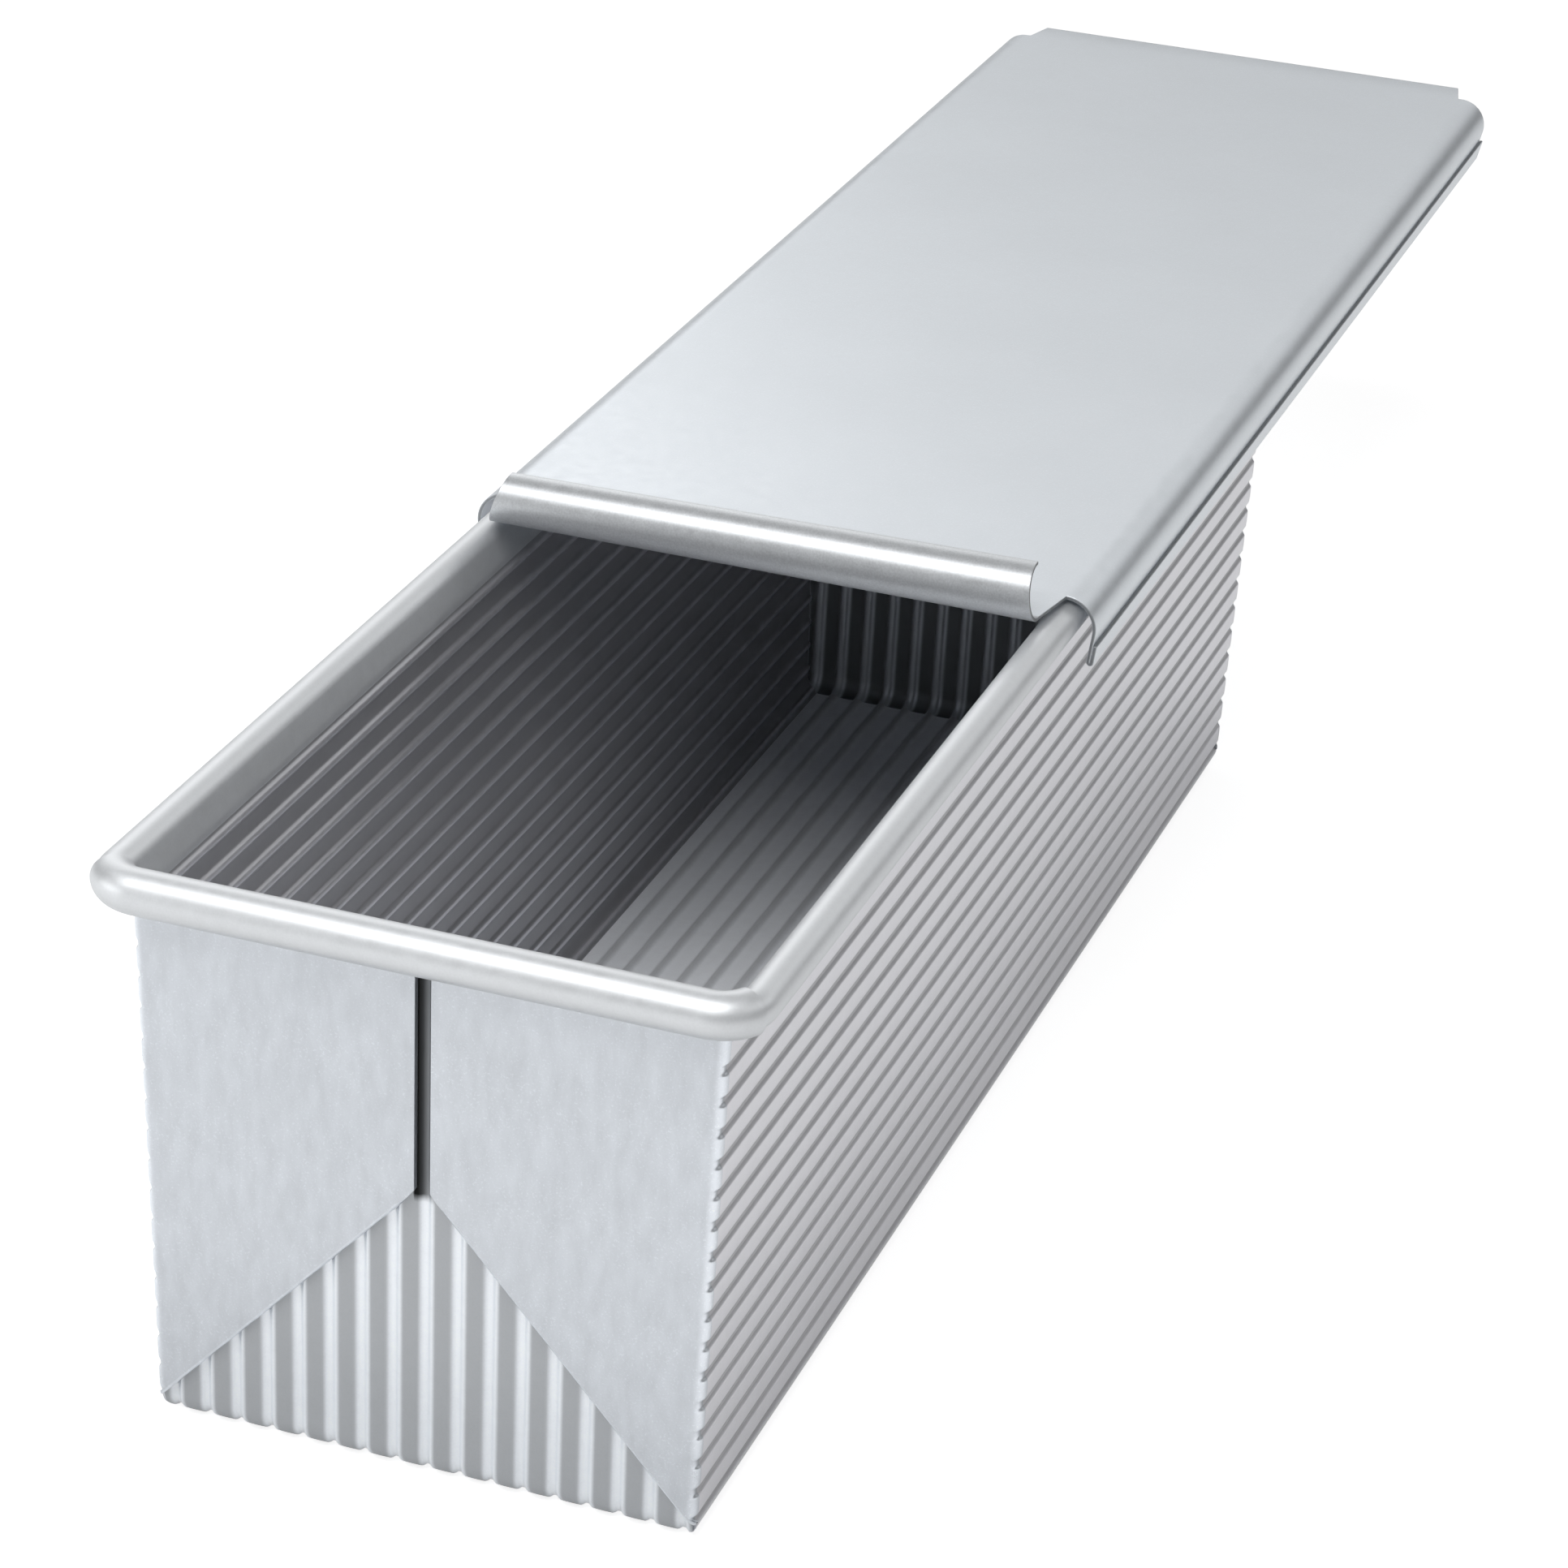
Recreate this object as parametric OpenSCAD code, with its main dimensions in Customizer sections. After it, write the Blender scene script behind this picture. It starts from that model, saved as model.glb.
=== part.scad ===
// Pullman loaf pan: a ribbed sheet-steel pan folded up from one blank, with a wired rim,
// and a sliding lid whose edges wrap round the rim. Lengths are in millimetres and
// angles in degrees. X is the width, Y the length, Z is up. The origin is on the
// underside of the floor, in its middle. The lid is drawn shut and then slid back.

/* [Pan] */
// Outer width of the pan at the floor
base_w = 98; // [80:1:130]
// Outer length of the pan at the floor, over the folded corner gussets
base_l = 332; // [240:1:400]
// Height at which the flat walls end and the rim begins
wall_h = 98.8; // [75:0.1:125]
// Angle by which each side wall leans out
side_lean = 1.64; // [0.5:0.02:3]
// Angle by which each end wall leans out
end_lean = 1.09; // [0.5:0.01:3]
// Thickness of the pan's sheet
sheet_t = 0.7; // [0.5:0.05:0.8]
// Outer radius of the bend between the floor and a wall
bend_r = 4.5; // [3.5:0.1:6]
// Outer radius of the upright fold at each corner
fold_r = 2; // [1.7:0.1:2.6]

/* [Ribs] */
// Distance between the pressed grooves
rib_pitch = 5.78; // [5:0.01:8]
// Width of a groove at its mouth
groove_mouth = 2.2; // [1.6:0.1:2.8]
// Width of a groove at its bed
groove_bed = 0.9; // [0.4:0.1:1.2]
// Depth of a groove
groove_depth = 0.6; // [0.3:0.05:0.8]

/* [Gussets] */
// Gap between the two gussets of one end
gusset_gap = 2.8; // [1.6:0.1:5]
// Height at which the gap's straight sides end
gusset_slit_z = 55.5; // [45:0.5:58]
// Slope of a gusset's folded lower edge
gusset_slope = 48; // [44:1:50]
// Height of that edge above the floor at the corner
gusset_tip_z = 3.4; // [2.5:0.1:5]
// Clearance between an end wall's edge and the ridges inside a side wall
corner_gap = 0.1; // [0.05:0.01:0.3]

/* [Rim] */
// Diameter of the wire inside the rim
wire_d = 5; // [4:0.1:5.4]
// Clearance between the wire and the rolled sheet
wire_fit = 0.05; // [0.03:0.01:0.15]
// Distance of the wire's centre outside the inner face of a side wall's top
wire_out_side = 4.5; // [4.3:0.1:6]
// Distance of the wire's centre outside the inner face of an end wall's top
wire_out_end = 4.8; // [4.5:0.1:6]
// Height of the wire's centre above the top of the flat walls
wire_up = 4.2; // [4.1:0.1:6]
// Corner radius of the wire loop, at the wire's centre
rim_corner_r = 6.5; // [6.2:0.1:9]
// Angle past straight down at which the rolled edge ends
roll_end = 20; // [0:1:30]
// Gap between the two ends of the wire
wire_butt = 1; // [0.5:0.1:3]

/* [Lid] */
// Length of the lid's side channels
lid_l = 336; // [330:1:344]
// Distance that the lid is slid back from shut
lid_open = 167; // [0:1:200]
// Thickness of the lid's sheet
lid_t = 0.7; // [0.5:0.05:0.9]
// Clearance between the lid and the end rims that it slides on
lid_gap = 0.35; // [0.3:0.05:0.8]
// Clearance between a channel and the widest part of the rim
channel_gap = 1.75; // [1:0.05:3]
// Outer radius of the shoulder between the plate and a flange
shoulder_r = 6.2; // [4.6:0.1:6.3]
// Depth of a channel, from the top of the plate to the bottom of the hem
lid_depth = 13.4; // [13:0.1:16]
// Angle by which a flange leans in towards the pan
flange_lean = 8.2; // [0:0.1:9]
// Height of the hem folded up outside a flange
hem_h = 4.2; // [3:0.1:4.6]
// Distance by which the lower front corner of a flange is set back
front_setback = 0.5; // [0:0.1:8]
// Distance by which the lower back corner of a flange is set back
back_setback = 4.5; // [0:0.1:8]

/* [Pull lip and stop] */
// Length of the tongue from the channels to the middle of the pull lip
tongue_l = 11.2; // [8:0.1:18]
// Amount by which the tongue narrows on each side
tongue_taper = 1.9; // [0:0.1:5]
// Outer radius of the pull lip
lip_r = 5.3; // [4:0.1:7]
// Angle through which the pull lip is rolled
lip_turn = 186; // [150:1:200]
// Amount by which the lip narrows on each side from its root to its top
lip_taper = 2.2; // [0:0.1:6]
// Length of the stop tab behind the channels
tab_l = 10; // [8:0.1:16]
// Distance by which the tab is narrower than the plate on each side
tab_inset = 1; // [0:0.1:4]
// Amount by which the tab narrows on each side towards its end
tab_taper = 2.2; // [0:0.1:5]
// Depth of the turned-down edge of the tab
tab_drop = 5.5; // [3.5:0.1:8]
// Outer radius of the tab's bend
tab_bend_r = 1.8; // [1.2:0.1:3]

/* [Hidden] */
$fn = 64;

// Step of the points along a drawn arc
arc_step = 8;
// Amount by which a trimming body reaches past what it trims
over = 4;

// Outer crest plane of a side wall: its distance from the middle at height z
function side_x(z) = base_w / 2 + tan(side_lean) * z;
// Outer crest plane of an end wall, under the two gusset leaves
function end_y(z) = base_l / 2 - 2 * sheet_t / cos(end_lean) + tan(end_lean) * z;
// Outer face of the gussets
function stack_y(z) = base_l / 2 + tan(end_lean) * z;

// Where the floor bends begin and where they end
bend_x = side_x(bend_r) - bend_r / cos(side_lean);
bend_y = end_y(bend_r) - bend_r / cos(end_lean);
side_bend_top = bend_r * (1 - sin(side_lean));
end_bend_top = bend_r * (1 - sin(end_lean));
side_bend_len = bend_r * (90 - side_lean) * PI / 180;
side_wall_len = (wall_h - side_bend_top) / cos(side_lean);

// Inner faces of the walls at their top, kept to a hundredth so that the rim's pieces join
function to_hundredth(v) = round(v * 100) / 100;
inner_x = to_hundredth(side_x(wall_h) - sheet_t * cos(side_lean));
inner_y = to_hundredth(end_y(wall_h) - sheet_t * cos(end_lean));

// Wire loop and rolls
wire_r = wire_d / 2;
roll_in_r = wire_r + wire_fit;
side_roll_r = roll_in_r + sheet_t;
end_roll_r = roll_in_r + 2 * sheet_t;
wire_x = inner_x + wire_out_side;
wire_y = inner_y + wire_out_end;
wire_z = wall_h + wire_up;

// Heights of the walls' inner top edges, where the rolls' sheet goes on
side_root_z = to_hundredth(wall_h + sheet_t * sin(side_lean));
end_root_z = to_hundredth(wall_h + sheet_t * sin(end_lean));

straight_x = wire_x - rim_corner_r;
straight_y = wire_y - rim_corner_r;

// Lid heights and widths
lid_low = wire_z + end_roll_r + lid_gap;
lid_top = lid_low + lid_t;
flange_x = wire_x + end_roll_r + channel_gap + lid_t;
plate_x = flange_x - shoulder_r;
shoulder_z = lid_top - shoulder_r;
flange_len = (lid_depth - shoulder_r * (1 + sin(flange_lean)) - lid_t) / cos(flange_lean);
lip_x = plate_x - tongue_taper;
tab_x = plate_x - tab_inset;

steel = [0.76, 0.78, 0.80];
dull_steel = [0.66, 0.69, 0.71];
lid_steel = [0.83, 0.84, 0.86];
bright_steel = [0.88, 0.89, 0.91];

// Depth of the pressed surface below the crests at a distance s from the middle
function groove(s) =
    let (off = abs(s - rib_pitch * round(s / rib_pitch)))
    groove_depth * max(0, min(1, (groove_mouth / 2 - off) / ((groove_mouth - groove_bed) / 2)));

// Places between a and b where the ribbed section turns, with extra ones round a bend
function rib_stops(a, b, bend_a = 0, bend_b = 0) = concat([a],
    [for (k = [floor(a / rib_pitch) : ceil(b / rib_pitch)])
        for (off = [-groove_mouth / 2, -groove_bed / 2, groove_bed / 2, groove_mouth / 2,
                    groove_mouth / 2 + (rib_pitch - groove_mouth) / 3,
                    groove_mouth / 2 + (rib_pitch - groove_mouth) * 2 / 3])
            let (s = k * rib_pitch + off)
            if (s > a && s < b && (abs(off) <= groove_mouth / 2 || (s > bend_a && s < bend_b))) s],
    [b]);

function reversed(list) = [for (i = [len(list) - 1 : -1 : 0]) list[i]];

// A side's section, followed from the middle of the floor by the distance s
function side_angle(s) = max(0, min(90 - side_lean, (s - bend_x) / bend_r * 180 / PI));
function side_point(s, depth) =
    let (a = side_angle(s), up = max(0, s - bend_x - side_bend_len))
    [min(s, bend_x) + bend_r * sin(a) + up * cos(a) - depth * sin(a),
     bend_r * (1 - cos(a)) + up * sin(a) + depth * cos(a)];

// Flat ribbed sheet seen end on: crests on the line y = 0, the other face towards +y
function flat_rib_points(half) =
    let (stops = rib_stops(-half, half))
    concat([for (s = stops) [s, groove(s)]],
           [for (s = reversed(stops)) [s, groove(s) + sheet_t]]);

function arc_points(c, r, a, b) =
    let (n = max(2, ceil(abs(b - a) / arc_step)))
    [for (i = [0 : n]) let (t = a + (b - a) * i / n) c + r * [cos(t), sin(t)]];

// Section of a rim roll: the web leaves the wall's top at the origin's inner corner, touches
// the roll and goes round the wire. c is the wire's centre and lean is that of the wall.
function roll_points(c, r, lean) =
    let (to = norm(c),
         web_a = atan2(c[1], c[0]) + asin(r / to),
         first = web_a + 90,
         last = -90 - roll_end)
    concat([[0, 0]],
           arc_points(c, r, first, last),
           arc_points(c, roll_in_r, last, first),
           [sheet_t * [cos(lean), -sin(lean)]]);

module in_frame(o, ex, ey, ez)
    multmatrix([[ex[0], ey[0], ez[0], o[0]],
                [ex[1], ey[1], ez[1], o[1]],
                [ex[2], ey[2], ez[2], o[2]],
                [0, 0, 0, 1]])
        children();

// Drawing x along X and drawing y up the front wall's crest plane, thickness outwards
module on_front_plane()
    in_frame([0, -end_y(0), 0], [1, 0, 0], [0, -sin(end_lean), cos(end_lean)],
             [0, -cos(end_lean), -sin(end_lean)])
        children();

// Drawing x along X and drawing y along Z, drawn out along Y between two values
module along_y(y0, y1)
    translate([0, y1, 0])
        rotate([90, 0, 0])
            linear_extrude(y1 - y0)
                children();

// Pan floor

module pan_floor()
    color(steel)
        along_y(-bend_y, bend_y)
            polygon(flat_rib_points(bend_x));

// Side walls, each with its floor bend

module side_wall()
    color(steel)
        intersection() {
            along_y(-end_y(0) - over, end_y(0) + over)
                side_section();
            union() {
                side_upper_trim();
                side_lower_trim();
            }
        }

module side_section() {
    stops = rib_stops(bend_x, bend_x + side_bend_len + side_wall_len, bend_x, bend_x + side_bend_len);
    polygon(concat([for (s = stops) side_point(s, groove(s))],
                   [for (s = reversed(stops)) side_point(s, groove(s) + sheet_t)]));
}

// Above the bend the wall ends where the upright folds begin
module side_upper_trim() {
    fold_y = fold_r / cos(end_lean);
    in_frame([0, 0, 0], [0, 1, 0], [0, 0, 1], [1, 0, 0])
        linear_extrude(side_x(wall_h) + over)
            polygon([[-stack_y(side_bend_top) + fold_y, side_bend_top],
                     [stack_y(side_bend_top) - fold_y, side_bend_top],
                     [stack_y(wall_h + over) - fold_y, wall_h + over],
                     [-stack_y(wall_h + over) + fold_y, wall_h + over]]);
}

// Round the bend the wall is mitred with the end walls
module side_lower_trim() {
    run = [bend_r / cos(side_lean), bend_r / cos(end_lean)] * 1.5;
    translate([0, 0, -over])
        linear_extrude(side_bend_top + over)
            polygon([[bend_x, -bend_y], [bend_x + run[0], -bend_y - run[1]],
                     [bend_x + run[0], bend_y + run[1]], [bend_x, bend_y]]);
}

// End walls, each with its floor bend

module end_wall()
    color(dull_steel) {
        end_wall_flat();
        end_wall_bend();
    }

module end_wall_flat() {
    edge = sheet_t + groove_depth + corner_gap;
    lift = (wall_h - end_bend_top) / cos(end_lean);
    intersection() {
        translate([0, -end_y(end_bend_top), end_bend_top])
            rotate([end_lean, 0, 0])
                linear_extrude(lift)
                    polygon(flat_rib_points(side_x(wall_h)));
        in_frame([0, 0, 0], [1, 0, 0], [0, 0, 1], [0, -1, 0])
            linear_extrude(stack_y(wall_h) + over)
                polygon([[-side_x(0) + edge, 0], [side_x(0) - edge, 0],
                         [side_x(wall_h + over) - edge, wall_h + over],
                         [-side_x(wall_h + over) + edge, wall_h + over]]);
    }
}

module end_wall_bend() {
    run = [bend_r / cos(side_lean), bend_r / cos(end_lean)] * 1.5;
    intersection() {
        translate([0, -bend_y, bend_r])
            rotate([180, 90, 0])
                rotate_extrude(angle = 90 - end_lean)
                    polygon([for (p = flat_rib_points(side_x(bend_r))) [bend_r - p[1], p[0]]]);
        translate([0, 0, -over])
            linear_extrude(bend_r + over)
                polygon([[-bend_x, -bend_y], [-bend_x - run[0], -bend_y - run[1]],
                         [bend_x + run[0], -bend_y - run[1]], [bend_x, -bend_y]]);
    }
}

// Gussets: two leaves folded along the slope, with the upright fold from the side wall

module gusset()
    color(bright_steel)
        intersection() {
            union() {
                gusset_leaves();
                corner_fold();
            }
            on_front_plane()
                translate([0, 0, -over])
                    linear_extrude(2 * sheet_t + 2 * over)
                        gusset_outline();
        }

module gusset_leaves() {
    rise = wall_h / cos(end_lean);
    reach = fold_r / cos(side_lean);
    on_front_plane()
        linear_extrude(2 * sheet_t)
            polygon([[0, 0], [side_x(0) - reach, 0], [side_x(wall_h) - reach, rise], [0, rise]]);
}

module corner_fold() {
    turn_y = side_lean;
    turn_x = atan(tan(end_lean) * cos(turn_y));
    translate([side_x(0) - fold_r / cos(side_lean), -stack_y(0) + fold_r / cos(end_lean), 0])
        rotate([turn_x, turn_y, 0])
            rotate([0, 0, -90])
                rotate_extrude(angle = 90)
                    translate([fold_r - sheet_t, 0])
                        square([sheet_t, wall_h + over]);
}

module gusset_outline() {
    rise = wall_h / cos(end_lean);
    far = side_x(wall_h) + over;
    slit = gusset_gap / 2;
    slope = tan(gusset_slope);
    foot = gusset_slit_z - 1.5 * slit;
    turn = side_x(0) - (foot - gusset_tip_z) / slope;
    polygon([[slit, rise], [slit, gusset_slit_z + slit], [max(slit, turn), foot],
             [far, gusset_tip_z - (far - side_x(0)) * slope], [far, rise]]);
}

// Rim rolls

module side_roll()
    color(bright_steel)
        along_y(-straight_y, straight_y)
            translate([inner_x, side_root_z])
                polygon(roll_points([wire_out_side, wire_z - side_root_z], side_roll_r, side_lean));

module end_roll()
    color(bright_steel) {
        in_frame([straight_x, -inner_y, end_root_z], [0, -1, 0], [0, 0, 1], [-1, 0, 0])
            linear_extrude(2 * straight_x)
                end_roll_section();
        for (side = [0, 1])
            mirror([side, 0, 0])
                translate([straight_x, -straight_y, end_root_z])
                    rotate([0, 0, -90])
                        rotate_extrude(angle = 90)
                            translate([rim_corner_r - wire_out_end, 0])
                                end_roll_section();
    }

module end_roll_section()
    polygon(roll_points([wire_out_end, wire_z - end_root_z], end_roll_r, end_lean));

// The wire: one loop of round rod whose ends meet behind the back wall

module rim_wire()
    color(dull_steel)
        difference() {
            translate([0, 0, wire_z])
                wire_loop();
            translate([-wire_butt / 2, wire_y - over, wire_z - over])
                cube([wire_butt, 2 * over, 2 * over]);
        }

module wire_loop() {
    for (side = [-1, 1]) {
        translate([side * wire_x, 0, 0])
            rotate([90, 0, 0])
                cylinder(r = wire_r, h = 2 * straight_y, center = true);
        translate([0, side * wire_y, 0])
            rotate([0, 90, 0])
                cylinder(r = wire_r, h = 2 * straight_x, center = true);
    }
    for (mx = [0, 1])
        for (my = [0, 1])
            mirror([mx, 0, 0])
                mirror([0, my, 0])
                    translate([straight_x, straight_y, 0])
                        rotate_extrude(angle = 90)
                            translate([rim_corner_r, 0])
                                circle(r = wire_r);
}

// Lid

module slid_back()
    translate([0, lid_open, 0])
        children();

module lid_plate()
    color(lid_steel)
        slid_back()
            translate([0, 0, lid_low])
                linear_extrude(lid_t)
                    polygon([[-plate_x, lid_l / 2], [-plate_x, -lid_l / 2],
                             [-lip_x, -lid_l / 2 - tongue_l], [lip_x, -lid_l / 2 - tongue_l],
                             [plate_x, -lid_l / 2], [plate_x, lid_l / 2]]);

module lid_shoulder()
    color(lid_steel)
        slid_back()
            along_y(-lid_l / 2, lid_l / 2)
                polygon(concat(
                    arc_points([plate_x, shoulder_z], shoulder_r, 90, -flange_lean),
                    arc_points([plate_x, shoulder_z], shoulder_r - lid_t, -flange_lean, 90)));

// Drawing x along Y and drawing y down the right flange's outer face, thickness inwards
module on_flange()
    in_frame([plate_x + shoulder_r * cos(flange_lean), 0, shoulder_z - shoulder_r * sin(flange_lean)],
             [0, 1, 0], [-sin(flange_lean), 0, -cos(flange_lean)],
             [-cos(flange_lean), 0, sin(flange_lean)])
        children();

// Side view of a flange between two distances down from its root: its ends slant
module flange_outline(from, to) {
    function front(s) = -lid_l / 2 + front_setback * s / (flange_len + lid_t);
    function back(s) = lid_l / 2 - back_setback * s / (flange_len + lid_t);
    polygon([[front(from), from], [back(from), from], [back(to), to], [front(to), to]]);
}

module lid_flange()
    color(lid_steel)
        slid_back()
            on_flange()
                linear_extrude(lid_t)
                    flange_outline(0, flange_len);

// The hem: the flange's edge folded out and up against its outside
module lid_hem()
    color(bright_steel)
        slid_back()
            on_flange()
                intersection() {
                    union() {
                        translate([-lid_l / 2, flange_len - hem_h + lid_t, -lid_t])
                            cube([lid_l, hem_h - lid_t, lid_t]);
                        hem_fold();
                    }
                    translate([0, 0, -2 * lid_t])
                        linear_extrude(4 * lid_t)
                            flange_outline(0, flange_len + lid_t);
                }

module hem_fold()
    intersection() {
        translate([0, flange_len, 0])
            rotate([0, 90, 0])
                cylinder(r = lid_t, h = lid_l, center = true);
        translate([-lid_l / 2, flange_len, -lid_t])
            cube([lid_l, lid_t, 2 * lid_t]);
    }

// The pull lip: the tongue's end rolled up into a half-round grip
module lid_pull_lip()
    color(bright_steel)
        slid_back()
            intersection() {
                translate([0, -lid_l / 2 - tongue_l, lid_low + lip_r])
                    rotate([180, 90, 0])
                        rotate_extrude(angle = lip_turn)
                            translate([lip_r - lid_t, -lip_x])
                                square([lid_t, 2 * lip_x]);
                along_y(-lid_l / 2 - tongue_l - lip_r - over, -lid_l / 2)
                    polygon([[-lip_x, lid_low], [lip_x, lid_low],
                             [lip_x - lip_taper, lid_low + 2 * lip_r],
                             [-lip_x + lip_taper, lid_low + 2 * lip_r]]);
            }

// The stop tab: the plate's back end, narrower than the plate and turned down
module lid_stop_tab()
    color(lid_steel)
        slid_back()
            intersection() {
                in_frame([-tab_x, lid_l / 2, lid_top], [0, 1, 0], [0, 0, 1], [1, 0, 0])
                    linear_extrude(2 * tab_x)
                        tab_section();
                translate([0, 0, lid_top - tab_drop - over])
                    linear_extrude(tab_drop + 2 * over)
                        polygon([[-tab_x, lid_l / 2], [tab_x, lid_l / 2],
                                 [tab_x - tab_taper, lid_l / 2 + tab_l],
                                 [-tab_x + tab_taper, lid_l / 2 + tab_l]]);
            }

module tab_section() {
    c = [tab_l - tab_bend_r, -tab_bend_r];
    polygon(concat([[0, 0]], arc_points(c, tab_bend_r, 90, 0), [[tab_l, -tab_drop]],
                   [[tab_l - lid_t, -tab_drop]], arc_points(c, tab_bend_r - lid_t, 0, 90),
                   [[0, -lid_t]]));
}

pan_floor();
mirror([1, 0, 0]) side_wall();  // left_side_wall
side_wall();  // right_side_wall
end_wall();  // front_end_wall
mirror([0, 1, 0]) end_wall();  // back_end_wall
mirror([1, 0, 0]) gusset();  // front_left_gusset
gusset();  // front_right_gusset
mirror([0, 1, 0]) mirror([1, 0, 0]) gusset();  // back_left_gusset
mirror([0, 1, 0]) gusset();  // back_right_gusset
mirror([1, 0, 0]) side_roll();  // left_rim_roll
side_roll();  // right_rim_roll
end_roll();  // front_rim_roll
mirror([0, 1, 0]) end_roll();  // back_rim_roll
rim_wire();
lid_plate();
mirror([1, 0, 0]) lid_shoulder();  // lid_left_shoulder
lid_shoulder();  // lid_right_shoulder
mirror([1, 0, 0]) lid_flange();  // lid_left_flange
lid_flange();  // lid_right_flange
mirror([1, 0, 0]) lid_hem();  // lid_left_hem
lid_hem();  // lid_right_hem
lid_pull_lip();
lid_stop_tab();
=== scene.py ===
"""Pullman loaf pan with its sliding lid drawn half back: the dressed model and its studio.

The pan is folded up from one ribbed sheet and its rim is rolled round a wire. The lid's
channels wrap round the rim. Lengths are in millimetres until a mesh is made, which is in
metres. X is the width, Y the length and Z is up, with the origin under the floor's middle.
"""
import logging
import math
from dataclasses import dataclass, field
from enum import Enum
from typing import Any, Callable

import bpy
import numpy as np
from mathutils import Matrix, Vector


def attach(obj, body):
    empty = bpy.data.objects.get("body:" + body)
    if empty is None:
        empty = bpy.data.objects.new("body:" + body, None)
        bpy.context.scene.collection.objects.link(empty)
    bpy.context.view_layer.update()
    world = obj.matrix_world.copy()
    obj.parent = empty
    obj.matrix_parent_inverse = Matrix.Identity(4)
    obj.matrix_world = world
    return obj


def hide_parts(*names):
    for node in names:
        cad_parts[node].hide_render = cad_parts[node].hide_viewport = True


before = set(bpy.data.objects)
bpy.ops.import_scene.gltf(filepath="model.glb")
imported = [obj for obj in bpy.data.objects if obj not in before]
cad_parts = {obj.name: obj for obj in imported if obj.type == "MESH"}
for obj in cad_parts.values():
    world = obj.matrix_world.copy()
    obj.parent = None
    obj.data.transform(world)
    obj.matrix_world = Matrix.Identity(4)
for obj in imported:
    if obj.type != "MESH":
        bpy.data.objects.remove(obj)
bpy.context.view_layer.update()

MM = 0.001
EDGE_STEPS = 4
SHARP_DEG = 38.0
ACROSS = np.linspace(-1.0, 1.0, 9)
RAW_EDGE = "raw_edge"
# Per-point painted light in the steel's colour: above 0 a painted highlight, below 0 painted shade.
PAINTED_LIGHT = "painted_light"

log = logging.getLogger("loaf_pan")


class Body(Enum):
    """The two bodies that the pieces ride on."""

    PAN = "pan"
    LID = "lid"


class Side(Enum):
    """The sense in which a piece drawn on the right, or at the front, is set on its side."""

    RIGHT = (1.0, 1.0)
    LEFT = (-1.0, 1.0)
    BACK_RIGHT = (1.0, -1.0)
    BACK_LEFT = (-1.0, -1.0)

    def place(self, points: np.ndarray) -> np.ndarray:
        """Return the points mirrored to this side."""
        return points * np.array([self.value[0], self.value[1], 1.0])


SIDES = ((Side.RIGHT, "right"), (Side.LEFT, "left"))
ENDS = ((Side.RIGHT, "front"), (Side.BACK_RIGHT, "back"))
CORNERS = (
    (Side.RIGHT, "front_right"),
    (Side.LEFT, "front_left"),
    (Side.BACK_RIGHT, "back_right"),
    (Side.BACK_LEFT, "back_left"),
)


# Shader graphs


class Number:
    """A shader value whose arithmetic adds Math nodes to its graph."""

    def __init__(self, graph: "Graph", socket: bpy.types.NodeSocket) -> None:
        """Wrap a socket.

        Args:
            graph: The graph that the new Math nodes go into.
            socket: The output that holds the value.
        """
        self.graph = graph
        self.socket = socket

    def _math(self, operation: str, first: Any, second: Any) -> "Number":
        """Return the result of one Math node."""
        node = self.graph.node("ShaderNodeMath", {"operation": operation}, {0: first, 1: second})
        return Number(self.graph, node.outputs[0])

    def __add__(self, other: Any) -> "Number":
        """Return self + other."""
        return self._math("ADD", self, other)

    __radd__ = __add__

    def __mul__(self, other: Any) -> "Number":
        """Return self * other."""
        return self._math("MULTIPLY", self, other)

    __rmul__ = __mul__

    def __sub__(self, other: Any) -> "Number":
        """Return self - other."""
        return self._math("SUBTRACT", self, other)

    def __rsub__(self, other: Any) -> "Number":
        """Return other - self."""
        return self._math("SUBTRACT", other, self)


class Graph:
    """A node tree that is built by calls and expressions."""

    def __init__(self, tree: bpy.types.NodeTree) -> None:
        """Take over an empty tree.

        Args:
            tree: The node tree of a material or of the world.
        """
        self.tree = tree
        tree.nodes.clear()

    def node(
        self,
        kind: str,
        settings: dict[str, Any] | None = None,
        sockets: dict[Any, Any] | None = None,
    ) -> bpy.types.Node:
        """Add a node.

        Args:
            kind: The node's type name.
            settings: Properties that are set first.
            sockets: Values or links of the inputs, by name or number.

        Returns:
            The new node.
        """
        node = self.tree.nodes.new(kind)
        for name, value in (settings or {}).items():
            setattr(node, name, value)
        for key, value in (sockets or {}).items():
            source = value.socket if isinstance(value, Number) else value
            if isinstance(source, bpy.types.NodeSocket):
                self.tree.links.new(source, node.inputs[key])
            else:
                node.inputs[key].default_value = source
        return node

    def vector(self, operation: str, *inputs: Any) -> bpy.types.NodeSocket:
        """Return the result of one Vector Math node."""
        node = self.node("ShaderNodeVectorMath", {"operation": operation}, dict(enumerate(inputs)))
        return node.outputs["Value" if operation in ("DOT_PRODUCT", "LENGTH") else "Vector"]

    def noise(self, place: Any, scale: float, detail: float) -> Number:
        """Return a noise value from 0 to 1 with the given grains per metre."""
        node = self.node(
            "ShaderNodeTexNoise", {}, {"Vector": place, "Scale": scale, "Detail": detail}
        )
        return Number(self, node.outputs["Fac"])

    def ease(self, value: Any, start: float, end: float) -> Number:
        """Return 0 up to start and 1 from end on, with the cubic 3u^2 - 2u^3 between."""
        node = self.node(
            "ShaderNodeMapRange", {"interpolation_type": "SMOOTHSTEP"}, {0: value, 1: start, 2: end}
        )
        return Number(self, node.outputs[0])


# Finishes


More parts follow.
